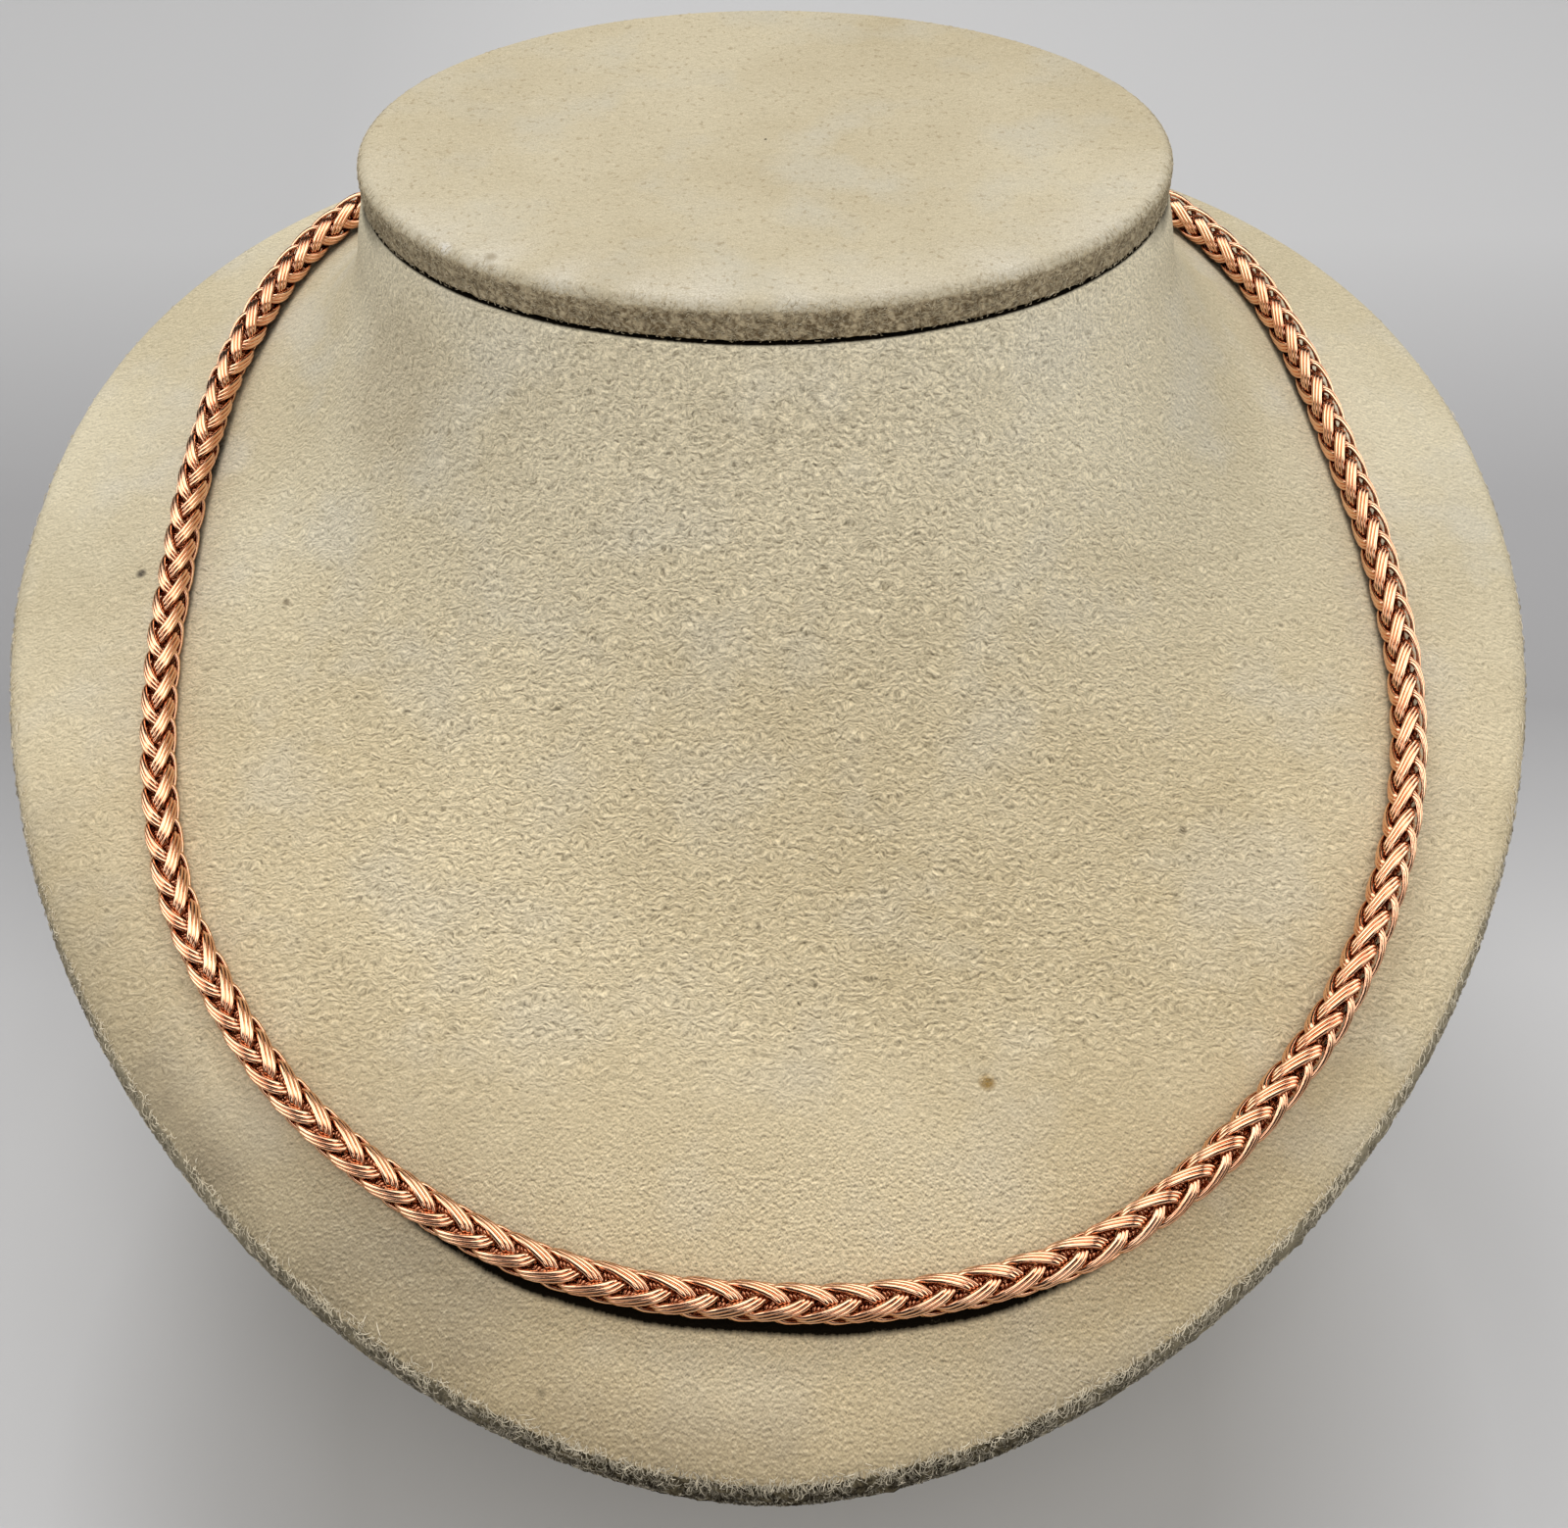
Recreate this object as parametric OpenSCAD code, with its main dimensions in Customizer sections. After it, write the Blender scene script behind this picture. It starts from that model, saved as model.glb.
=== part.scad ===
// Wheat chain laid round a padded neck bust with a flat disc on its neck.
// Lengths are in millimetres. The front faces -Y and the stand rests on z = 0.

/* [Neck disc] */
// Width of the disc on the neck
disc_w = 96; // [80:1:110]
// Depth of the disc from front to back
disc_d = 69; // [56:1:80]
// Thickness of the disc
disc_t = 4.8; // [3:0.1:8]
// How far the disc stands out over the neck all round
disc_lip = 2; // [0:0.1:4]

/* [Neck form] */
// Width of the padded form from side to side
form_w = 185; // [160:1:220]
// Depth of the padded form from its front tip to its back
form_d = 189; // [165:1:220]
// Thickness of the form at its rim
rim_t = 5.5; // [4:0.1:8]
// Height of the rim over the table at the front tip
front_rise = 62; // [50:1:80]
// Rise of the rim towards the back, for each millimetre of depth
rim_slope = 0.18; // [0.1:0.01:0.24]
// How far the form's widest place lies behind its middle
widest_back = 15.1; // [0:0.1:25]
// Height of the neck over the back of the rim
neck_rise = 20.6; // [14:0.1:35]
// Distance from the back of the neck to the back of the rim
back_margin = 20.5; // [14:0.1:26]

/* [Stand] */
// Width of the stand under the form
stand_w = 104; // [80:1:130]
// Depth of the stand
stand_d = 112; // [90:1:140]
// How far the stand's middle lies behind the form's middle
stand_back = 14; // [0:1:24]

/* [Chain] */
// Outer width of the round chain
chain_d = 3.8; // [2:0.1:6]
// Length of the clasp that closes the chain behind the neck
clasp_l = 12; // [8:0.5:18]
// Width of the clasp
clasp_w = 4.6; // [3:0.1:7]
// Thickness of the clasp
clasp_t = 3.2; // [2:0.1:5]

/* [Hidden] */

// Space left where two pieces rest on each other
seat_gap = 0.3;
// Space between the chain and the padded form under it
lie_gap = 0.35;

// Roundness of the rim seen from above, before and behind its widest place
front_power = 1.8;
back_power = 2.31;
// Share of the neck's height that flares steeply, and how steeply it does so
flare_share = 0.6;
flare_power = 5;
// Roundness of the stand's outline
stand_power = 2.4;

// Steps round an outline, down the padded form, round its edge and round the chain
round_steps = 96;
form_steps = 13;
edge_steps = 6;
chain_sides = 12;
// Steps between two chosen points of the chain's route
route_steps = 2;
// How much closer the rings lie under the neck, where the flare is steep
ring_crowding = 1.5;
// Short steps that the slope of the padded form is measured over
angle_step = 0.01;
share_step = 0.001;
// Turns of the search for the chain's ends
halvings = 20;

edge_r = rim_t / 2;
neck_w = disc_w - 2 * disc_lip;
neck_d = disc_d - 2 * disc_lip;
neck_y = form_d / 2 - back_margin - neck_d / 2;
neck_z = front_rise + rim_slope * form_d + neck_rise;
lift = chain_d / 2 + lie_gap;

// Share of the way from neck to rim where the clasp lies, behind the neck
clasp_share = 0.5;

// Route of the chain over the form: angle round the neck, share of the way from the neck to
// the rim. It starts behind the neck, comes down the left side and goes round the front.
chain_route = [
    [108, 0.505],
    [122, 0.58],
    [134.5, 0.61],
    [144.5, 0.575],
    [154.5, 0.525],
    [166, 0.5],
    [181, 0.53],
    [193, 0.597],
    [202, 0.687],
    [210, 0.77],
    [217, 0.828],
    [224, 0.855],
    [231, 0.875],
    [238, 0.88],
    [245, 0.88],
    [252, 0.878],
    [260, 0.871],
    [268.5, 0.866],
    [278, 0.877],
    [286, 0.893],
    [293.5, 0.907],
    [301, 0.908],
    [308, 0.902],
    [315.5, 0.891],
    [323, 0.866],
    [331, 0.823],
    [339, 0.753],
    [347.5, 0.657],
    [358, 0.555],
    [372, 0.5],
    [386, 0.51],
    [401.5, 0.545],
    [417, 0.545],
    [432, 0.505]
];

// Power that keeps the sign of its base
function signed_power(v, p) = sign(v) * pow(abs(v), p);

// Height of the rim's upper face at a distance y from the form's middle
function rim_z(y) = front_rise + rim_slope * (y + form_d / 2);

// Point [x, y] of the rim at angle a, moved in by inset: a superellipse whose front half is
// deeper and more pointed than its back half
function rim_xy(a, inset) =
    let (n = sin(a) < 0 ? front_power : back_power)
    let (depth = form_d / 2 + (sin(a) < 0 ? widest_back : -widest_back) - inset)
    [
        (form_w / 2 - inset) * signed_power(cos(a), 2 / n),
        widest_back + depth * signed_power(sin(a), 2 / n)
    ];

// Point [x, y] of the neck at angle a
function neck_xy(a) = [neck_w / 2 * cos(a), neck_y + neck_d / 2 * sin(a)];

// Share of the height that is left at share s of the way out: a steep flare under the neck
// that runs out into an even slope
function height_share(s) = flare_share * pow(1 - s, flare_power) + (1 - flare_share) * (1 - s);

// Point of the padded form's upper face at angle a and share s of the way out
function form_point(a, s) =
    let (rim = rim_xy(a, edge_r))
    let (xy = neck_xy(a) * (1 - s) + rim * s)
    let (low = rim_z(rim[1]))
    [xy[0], xy[1], low + (neck_z - low) * height_share(s)];

// Point of the rounded edge at angle a, turned by t from its upper to its lower face
function edge_point(a, t) =
    let (xy = rim_xy(a, edge_r * (1 - sin(t))))
    [xy[0], xy[1], rim_z(xy[1]) - edge_r * (1 - cos(t))];

// Unit vector that points out of the padded form's upper face, from two short steps on it
function form_normal(a, s) =
    let (here = form_point(a, s))
    let (outward = form_point(a, s + share_step) - here)
    let (around = form_point(a + angle_step, s) - here)
    cross(outward, around) / norm(cross(outward, around));

// Triangles of a closed skin over rings of points, each ring with n points
function skin_faces(rings, n) = concat(
    [[for (k = [n - 1 : -1 : 0]) k]],
    [
        for (r = [0 : rings - 2], k = [0 : n - 1])
            let (next = (k + 1) % n)
            each [
                [r * n + k, (r + 1) * n + next, (r + 1) * n + k],
                [r * n + k, r * n + next, (r + 1) * n + next]
            ]
    ],
    [[for (k = [0 : n - 1]) (rings - 1) * n + k]]
);

// Side distance of the surface point behind the neck at angle a
function back_x(a) = form_point(a, clasp_share)[0];

// Angle behind the neck where the surface point stands x to the side, found by halving
function back_angle(x, low, high, turns) =
    let (middle = (low + high) / 2)
    turns == 0 ? middle
    : back_x(middle) > x ? back_angle(x, middle, high, turns - 1)
    : back_angle(x, low, middle, turns - 1);

// Smooth curve through four points of the route, t from 0 to 1 between the middle two
function curve(p, q, r, s, t) =
    q + t / 2 * (r - p + t * (2 * p - 5 * q + 4 * r - s + t * (3 * q - p - 3 * r + s)));

// The route with its two ends at the clasp, and the finer route between its points
end_angle = back_angle(clasp_l / 2 + seat_gap, 0, 90, halvings);
ends_route = concat(
    [[180 - end_angle, clasp_share]],
    chain_route,
    [[360 + end_angle, clasp_share]]
);
last = len(ends_route) - 1;
fine_route = concat(
    [
        for (i = [0 : last - 1], k = [0 : route_steps - 1])
            curve(
                ends_route[max(i - 1, 0)],
                ends_route[i],
                ends_route[i + 1],
                ends_route[min(i + 2, last)],
                k / route_steps
            )
    ],
    [ends_route[last]]
);

// Points of the chain's middle line and the way up from the form at each of them
chain_up = [for (p = fine_route) form_normal(p[0], p[1])];
chain_line = [for (i = [0 : len(fine_route) - 1])
    form_point(fine_route[i][0], fine_route[i][1]) + lift * chain_up[i]];

// Ring of points round the chain's middle line at point i
function chain_ring(i) =
    let (end = len(chain_line) - 1)
    let (along = chain_line[min(i + 1, end)] - chain_line[max(i - 1, 0)])
    let (side = cross(along, chain_up[i]) / norm(cross(along, chain_up[i])))
    let (up = cross(side, along) / norm(along))
    [
        for (k = [0 : chain_sides - 1])
            let (turn = 360 * k / chain_sides)
            chain_line[i] + chain_d / 2 * (cos(turn) * side + sin(turn) * up)
    ];

// Plain block that the padded form rests on, its top cut to the form's slope
module stand() {
    outline = [
        for (k = [0 : round_steps - 1])
            let (a = 360 * k / round_steps)
            [
                stand_w / 2 * signed_power(cos(a), 2 / stand_power),
                stand_back + stand_d / 2 * signed_power(sin(a), 2 / stand_power)
            ]
    ];
    top_z = rim_z(-form_d / 2) - rim_t - seat_gap;
    block_h = rim_z(form_d / 2);
    color("tan")
        difference() {
            linear_extrude(block_h)
                polygon(outline);
            translate([0, -form_d / 2, top_z])
                rotate([atan(rim_slope), 0, 0])
                    translate([-form_w, -form_d, 0])
                        cube([2 * form_w, 4 * form_d, 2 * block_h]);
        }
}

// Padded form: a flared neck that spreads into a wide rim with a rounded edge
module neck_form() {
    angles = [for (k = [0 : round_steps - 1]) 360 * k / round_steps];
    upper = [
        for (i = [0 : form_steps], a = angles)
            form_point(a, pow(i / form_steps, ring_crowding))
    ];
    edge = [
        for (i = [1 : edge_steps], a = angles)
            edge_point(a, 180 * i / edge_steps)
    ];
    color("tan")
        polyhedron(
            points = concat(upper, edge),
            faces = skin_faces(form_steps + 1 + edge_steps, round_steps),
            convexity = 6
        );
}

// Flat disc that closes the neck
module neck_cap() {
    outline = [
        for (k = [0 : round_steps - 1])
            let (a = 360 * k / round_steps)
            [disc_w / 2 * cos(a), neck_y + disc_d / 2 * sin(a)]
    ];
    color("tan")
        translate([0, 0, neck_z + seat_gap])
            linear_extrude(disc_t)
                polygon(outline);
}

// The chain as a round tube of its outer width, along its whole length
module chain() {
    rings = len(chain_line);
    color("peru")
        polyhedron(
            points = [for (i = [0 : rings - 1]) each chain_ring(i)],
            faces = skin_faces(rings, chain_sides),
            convexity = 10
        );
}

// Clasp between the two ends of the chain: a bar with round ends, laid along the form
module clasp() {
    out = form_normal(90, clasp_share);
    place = form_point(90, clasp_share) + lift * out;
    reach = (clasp_l - clasp_w) / 2;
    color("peru")
        translate(place)
            rotate([-atan2(out[1], out[2]), 0, 0])
                union() {
                    cube([2 * reach, clasp_w, clasp_t], center = true);
                    for (side = [-1, 1])
                        translate([side * reach, 0, 0])
                            cylinder(h = clasp_t, d = clasp_w, center = true, $fn = 48);
                }
}

stand();
neck_form();
neck_cap();
chain();
clasp();
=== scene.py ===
import math
import bpy
import numpy as np
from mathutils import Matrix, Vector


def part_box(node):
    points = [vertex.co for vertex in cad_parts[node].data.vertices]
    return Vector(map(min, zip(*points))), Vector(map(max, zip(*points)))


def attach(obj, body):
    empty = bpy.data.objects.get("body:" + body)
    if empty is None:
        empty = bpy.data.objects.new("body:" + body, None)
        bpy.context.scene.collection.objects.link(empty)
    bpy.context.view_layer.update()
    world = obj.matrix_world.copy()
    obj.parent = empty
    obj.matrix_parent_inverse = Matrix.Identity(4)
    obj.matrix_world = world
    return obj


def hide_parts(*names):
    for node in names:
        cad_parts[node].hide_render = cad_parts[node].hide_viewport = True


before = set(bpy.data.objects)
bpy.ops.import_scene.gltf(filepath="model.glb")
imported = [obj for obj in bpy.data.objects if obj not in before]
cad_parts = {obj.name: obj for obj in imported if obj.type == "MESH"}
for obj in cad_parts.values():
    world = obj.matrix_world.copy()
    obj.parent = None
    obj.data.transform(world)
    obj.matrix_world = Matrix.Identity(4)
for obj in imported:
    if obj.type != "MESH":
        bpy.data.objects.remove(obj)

print("stage: frame loaded")
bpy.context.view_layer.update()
formLow, formHigh = np.array(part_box("neck_form")) * 1000.0  # millimetres from here on
capLow, capHigh = np.array(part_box("neck_cap")) * 1000.0
rng = np.random.default_rng(7)

# The padded form's own sizes, in millimetres. Its width, depth and top come from the frame.
formSize = {
    "frontRise": 62.0,  # rim's upper face over the table at the front tip
    "rimSlope": 0.18,  # rise towards the back for each millimetre
    "rimThick": 5.5,
    "widestBack": 15.1,  # widest place behind the middle
    "backMargin": 20.5,  # back of the neck to the back of the rim
    "discLip": 2.0,  # disc over neck
    "frontPower": 1.8,  # roundness of the rim before its widest place
    "backPower": 2.31,  # and behind it
    "flareShare": 0.6,  # share of the height that flares steeply
    "flarePower": 5.0,
}
formWidth = formHigh[0] - formLow[0]
formDepth = formHigh[1] - formLow[1]
neckTop = formHigh[2]
edgeRadius = formSize["rimThick"] / 2
discWidth = capHigh[0] - capLow[0]
discDepth = capHigh[1] - capLow[1]
neckHalfWidth = discWidth / 2 - formSize["discLip"]
neckHalfDepth = discDepth / 2 - formSize["discLip"]
neckMiddle = formDepth / 2 - formSize["backMargin"] - neckHalfDepth


# Vectors scaled to length one.
def unit(vectors):
    return vectors / np.linalg.norm(vectors, axis=-1, keepdims=True)


# Angles all round a closed row, as a row of numbers.
def allRound(count):
    return np.linspace(0, 2 * math.pi, count, endpoint=False)[None, :]


# Power that keeps its base's sign.
def signedPower(value, power):
    return np.sign(value) * np.abs(value) ** power


# Height of the rim's upper face: a plane that rises towards the back.
def rimHeight(y):
    return formSize["frontRise"] + formSize["rimSlope"] * (y + formDepth / 2)


# Rim seen from above at angle a, moved in by inset: a superellipse, pointed in front, fuller behind.
def rimPlan(a, inset):
    front = np.sin(a) < 0
    power = np.where(front, formSize["frontPower"], formSize["backPower"])
    depth = formDepth / 2 + np.where(front, 1, -1) * formSize["widestBack"] - inset
    x = (formWidth / 2 - inset) * signedPower(np.cos(a), 2 / power)
    y = formSize["widestBack"] + depth * signedPower(np.sin(a), 2 / power)
    return x, y


# Upper face at angle a and share s of the way out: straight from neck ellipse to rim in plan, and in
# height a steep power flare plus an even slope.
def formPoint(a, s):
    rimX, rimY = rimPlan(a, edgeRadius)
    x = neckHalfWidth * np.cos(a) * (1 - s) + rimX * s
    y = (neckMiddle + neckHalfDepth * np.sin(a)) * (1 - s) + rimY * s
    low = rimHeight(rimY)
    left = formSize["flareShare"] * (1 - s) ** formSize["flarePower"] + (1 - formSize["flareShare"]) * (1 - s)
    return np.stack([x, y, low + (neckTop - low) * left], -1)


# Unit normal of the upper face, from two short steps on it.
def formNormal(a, s):
    here = formPoint(a, s)
    return unit(np.cross(formPoint(a, s + 1e-3) - here, formPoint(a + 1e-3, s) - here))


# Rounded edge at angle a, turned by t from the upper to the lower face: a half circle.
def edgePoint(a, t):
    x, y = rimPlan(a, edgeRadius * (1 - np.sin(t)))
    return np.stack([x, y, rimHeight(y) - edgeRadius * (1 - np.cos(t))], -1)


def addObject(name, data):
    thing = bpy.data.objects.new(name, data)
    bpy.context.scene.collection.objects.link(thing)
    return thing


# Makes a mesh object from points in millimetres and equal-sized faces, with smooth shading, and one
# number for each point under each name in marks.
def addMesh(name, points, faces, material, marks=None):
    points = np.ascontiguousarray(points, dtype=np.float32).reshape(-1, 3) * 0.001
    faces = np.ascontiguousarray(faces, dtype=np.int32)
    sides = faces.shape[1]
    mesh = bpy.data.meshes.new(name)
    mesh.vertices.add(len(points))
    mesh.vertices.foreach_set("co", points.ravel())
    mesh.loops.add(faces.size)
    mesh.loops.foreach_set("vertex_index", faces.ravel())
    mesh.polygons.add(len(faces))
    mesh.polygons.foreach_set("loop_start", np.arange(0, faces.size, sides, dtype=np.int32))
    mesh.polygons.foreach_set("use_smooth", np.ones(len(faces), dtype=bool))
    mesh.update(calc_edges=True)
    for title, values in (marks or {}).items():
        layer = mesh.attributes.new(title, "FLOAT", "POINT")
        layer.data.foreach_set("value", np.ascontiguousarray(values, dtype=np.float32).ravel())
    mesh.materials.append(material)
    piece = addObject(name, mesh)
    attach(piece, "root")
    return piece


# Quads of a grid of rows by columns, the columns closed, and the rows too where closedRows is set.
def gridFaces(rows, columns, closedRows=False):
    r = np.arange(rows if closedRows else rows - 1)[:, None]
    c = np.arange(columns)[None, :]
    nextR, nextC = (r + 1) % rows, (c + 1) % columns
    quads = [r * columns + c, nextR * columns + c, nextR * columns + nextC, r * columns + nextC]
    return np.stack([np.broadcast_to(q, (r.size, c.size)) for q in quads], -1).reshape(-1, 4)


# Smooth closed or open curve through rows of numbers: a cubic through four neighbours at a time.
def smoothCurve(rows, steps, closed=False):
    rows = np.asarray(rows, dtype=float)
    count = len(rows)
    i = np.arange(count if closed else count - 1)
    pick = (lambda k: rows[k % count]) if closed else (lambda k: rows[np.clip(k, 0, count - 1)])
    p, q, r, s = [pick(i + k)[:, None, :] for k in (-1, 0, 1, 2)]
    t = (np.arange(steps) / steps)[None, :, None]
    out = q + t / 2 * (r - p + t * (2 * p - 5 * q + 4 * r - s + t * (3 * q - p - 3 * r + s)))
    out = out.reshape(-1, rows.shape[1])
    return out if closed else np.vstack([out, rows[-1]])


# Uneven relief on a closed band, between -1 and 1 or so: a sum of waves with whole numbers round the
# band and random tilts across it.
def bandRelief(a, v, slowest, fastest, waves=28):
    around = rng.integers(slowest, fastest, waves)
    across = rng.uniform(-1, 1, waves) * fastest / 40
    phase = rng.uniform(0, 2 * math.pi, waves)
    total = sum(np.cos(m * a + n * v + p) for m, n, p in zip(around, across, phase))
    return total / math.sqrt(waves / 2) / 2


# Shader helpers: a node with its inputs set or linked.
def addNode(tree, kind, inputs=None, **settings):
    node = tree.nodes.new(kind)
    for key, value in settings.items():
        setattr(node, key, value)
    for key, value in (inputs or {}).items():
        if isinstance(value, bpy.types.NodeSocket):
            tree.links.new(value, node.inputs[key])
        else:
            node.inputs[key].default_value = value
    return node


def addRamp(tree, factor, stops):
    ramp = addNode(tree, "ShaderNodeValToRGB", {"Fac": factor})
    while len(ramp.color_ramp.elements) < len(stops):
        ramp.color_ramp.elements.new(0.5)
    for element, (place, color) in zip(ramp.color_ramp.elements, stops):
        element.position = place
        element.color = (*color, 1.0)
    return ramp.outputs["Color"]


# Share from bottom to top as value goes from low to high, or the other way where low is over high.
def addRise(tree, value, low, high, top=1.0, bottom=0.0):
    inputs = {"Value": value, "From Min": low, "From Max": high, "To Min": bottom, "To Max": top}
    return addNode(tree, "ShaderNodeMapRange", inputs).outputs["Result"]


def addMath(tree, operation, first, second):
    return addNode(tree, "ShaderNodeMath", {0: first, 1: second}, operation=operation).outputs["Value"]


def addTimes(tree, first, second):
    return addMath(tree, "MULTIPLY", first, second)


# Number between two others: first + share (second - first).
def addBlend(tree, share, first, second):
    return addMath(tree, "ADD", first, addTimes(tree, share, addMath(tree, "SUBTRACT", second, first)))


def addVector(tree, operation, first, second, output="Vector"):
    return addNode(tree, "ShaderNodeVectorMath", {0: first, 1: second}, operation=operation).outputs[output]


def addNoise(tree, place, scale, detail=2.0, roughness=0.5, output="Fac"):
    inputs = {"Vector": place, "Scale": scale, "Detail": detail, "Roughness": roughness}
    return addNode(tree, "ShaderNodeTexNoise", inputs).outputs[output]


def addMix(tree, factor, first, second, blend="MIX"):
    inputs = {"Factor": factor, 6: first, 7: second}
    for key in (6, 7):
        if isinstance(inputs[key], tuple):
            inputs[key] = (*inputs[key], 1.0)
    return addNode(tree, "ShaderNodeMix", inputs, data_type="RGBA", blend_type=blend).outputs[2]


# A mesh's own number by its name.
def addMark(tree, name):
    return addNode(tree, "ShaderNodeAttribute", attribute_name=name).outputs["Fac"]


def setBump(tree, shader, height, strength, distance):
    bump = addNode(tree, "ShaderNodeBump", {"Height": height, "Strength": strength, "Distance": distance})
    tree.links.new(bump.outputs["Normal"], shader.inputs["Normal"])


def newMaterial(name):
    material = bpy.data.materials.new(name)
    material.use_nodes = True
    tree = material.node_tree
    shader = tree.nodes["Principled BSDF"]
    place = addNode(tree, "ShaderNodeTexCoord").outputs["Object"]
    return material, tree, shader, place


metalLook = {
    "color": (0.96, 0.57, 0.36),
    "dark": (0.89, 0.45, 0.265),
    "deep": (0.33, 0.10, 0.038),  # painted shade with some grime inside the chain, where the mesh's number deep is 1
    "roughness": 0.13,
    "cloudScale": 420.0,  # clouds of the plating to a metre
    "markScale": 3800.0,  # polishing marks to a metre
    "markStrength": 0.08,
    "markDepth": 0.0001,  # m
}


# Polished rose metal: a clear plating with faint cloudy variation and fine polishing marks, darker by the
# mesh's number deep: painted shade with some grime inside the chain.
def makeMetal(name, look):
    material, tree, shader, place = newMaterial(name)
    cloud = addNoise(tree, place, look["cloudScale"], 3.0)
    color = addRamp(tree, cloud, [(0.3, look["dark"]), (0.62, look["color"])])
    color = addMix(tree, addMark(tree, "deep"), color, look["deep"])
    tree.links.new(color, shader.inputs["Base Color"])
    shader.inputs["Metallic"].default_value = 1.0
    rough = addRise(tree, cloud, 0.3, 0.7, look["roughness"] * 0.8, look["roughness"] * 1.4)
    tree.links.new(rough, shader.inputs["Roughness"])
    setBump(tree, shader, addNoise(tree, place, look["markScale"]), look["markStrength"], look["markDepth"])
    return material


suedeLook = {
    "light": (0.62, 0.53, 0.355),
    "shade": (0.54, 0.45, 0.285),
    "cool": (0.57, 0.51, 0.385),
    "cloudScale": 24.0,  # clouds of light and shade to a metre
    "patchScale": 75.0,  # cool and dirty patches to a metre
    # Painted shade in the wrinkles' creases and painted light on their crests.
    "crease": (0.188, 0.148, 0.08),
    "creaseShare": 0.55,
    "crest": (0.61, 0.54, 0.39),
    "crestShare": 0.30,
    "creaseScale": 2300.0,  # wrinkles to a metre
    "emboss": 2.75,  # light and shade of the wrinkles' two sides
    "stretch": 0.62,  # wrinkles' scale from side to side to their scale across
    "sway": 0.0022,  # how far the wrinkles wander, m
    "swayScale": 420.0,
    "pebbleStart": -0.050,  # y where they start to turn into even pebbles towards the front, m
    "pebbleFull": -0.066,
    "pebbleScale": 1.15,  # pebbles' scale to the wrinkles'
    "lean": 0.00017,  # how far the lit side of a wrinkle lies from its shaded side, m
    "calmMiddle": (0.0, -0.03, 0.08),
    "calmFrom": 0.035,  # distance from that place on the chest where the wrinkles start to calm, m
    "calmTo": 0.10,
    "calmShare": 0.35,  # what is left of them there
    "napScale": 5200.0,
    "grain": (1.07, 1.40),  # brightness from the nap's dark to its light parts
    "napBump": 0.3,
    "strandBump": 2.0,
    "bumpStrength": 0.9,
    "bumpDepth": 0.0002,  # m
    "contact": 0.995,  # how dark it is under the chain
    "contactColor": (0.003, 0.002, 0.001),
    # The suede darkens towards the front rim to this colour, by this share.
    "frontRimDarkening": (0.25, 0.205, 0.135),
    "frontRimDarkeningShare": 0.85,
    # The cut face's colours: its own darker fibres with painted shade, darkest in front where the edge faces
    # away from the light.
    "cutDark": (0.024, 0.019, 0.012),
    "cutLight": (0.12, 0.10, 0.062),
    "strandScale": 1500.0,  # strands of the cut face to a metre
    "cutSide": (0.42, 0.37, 0.26),  # the cut face is paler towards the sides
    "cutSideFrom": 0.018,  # distance from the middle, m
    "cutSideTo": 0.068,
    "cutSideShare": 0.60,
    "specks": 0.0,  # share of small brown specks
    "speckScale": 1250.0,
    "speckColor": (0.27, 0.195, 0.105),
    # Colour of the painted light on the neck's top, where the disc shades it.
    "paintedLightColor": (0.72, 0.625, 0.44),
    # Spots: place and reach in metres, strength, colour
    "spots": [
        ((0.0218, -0.0561, 0.0702), 0.0011, 0.95, (0.27, 0.17, 0.05)),
        ((0.0453, -0.0278, 0.0767), 0.0006, 0.85, (0.13, 0.10, 0.06)),
        ((-0.0759, 0.0092, 0.0831), 0.0008, 0.95, (0.06, 0.05, 0.04)),
        ((-0.0568, 0.0018, 0.0849), 0.0006, 0.80, (0.16, 0.12, 0.07)),
        ((-0.0222, -0.0857, 0.0636), 0.0006, 0.75, (0.20, 0.17, 0.11)),
        ((-0.0438, 0.0183, 0.1028), 0.0120, 0.32, (0.36, 0.28, 0.17)),
        ((-0.0420, -0.0740, 0.0660), 0.0260, 0.30, (0.24, 0.21, 0.145)),
    ],
}
# The disc's look. Its cut side is darker than its top, partly its own colour and partly painted shade of a
# side that faces away from the light above.
capLook = dict(
    suedeLook,
    light=(0.54, 0.455, 0.30), shade=(0.47, 0.385, 0.24), cool=(0.50, 0.445, 0.33),
    creaseScale=1700.0, stretch=1.0, calmFrom=-0.02, calmTo=-0.01, calmShare=0.20,
    cutDark=(0.16, 0.12, 0.07), cutLight=(0.50, 0.42, 0.28), specks=0.45, paintedLightColor=(0.66, 0.60, 0.49),
    spots=[
        ((-0.0356, 0.0184, 0.1220), 0.0014, 0.70, (0.80, 0.75, 0.66)),
        ((-0.0300, 0.0164, 0.1220), 0.0010, 0.70, (0.26, 0.20, 0.12)),
    ],
)
# Tint of the suede from front to back, at y in metres, with painted light and shade: darker in front and
# behind, lighter and cooler in the middle. The grain brightens it again by a quarter.
suedePaintedLightAndShade = [
    (-0.090, (0.72, 0.69, 0.65)),
    (-0.062, (0.76, 0.75, 0.74)),
    (-0.020, (0.80, 0.80, 0.80)),
    (0.012, (0.82, 0.865, 0.945)),
    (0.040, (0.82, 0.865, 0.945)),
    (0.095, (0.74, 0.77, 0.82)),
]
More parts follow.
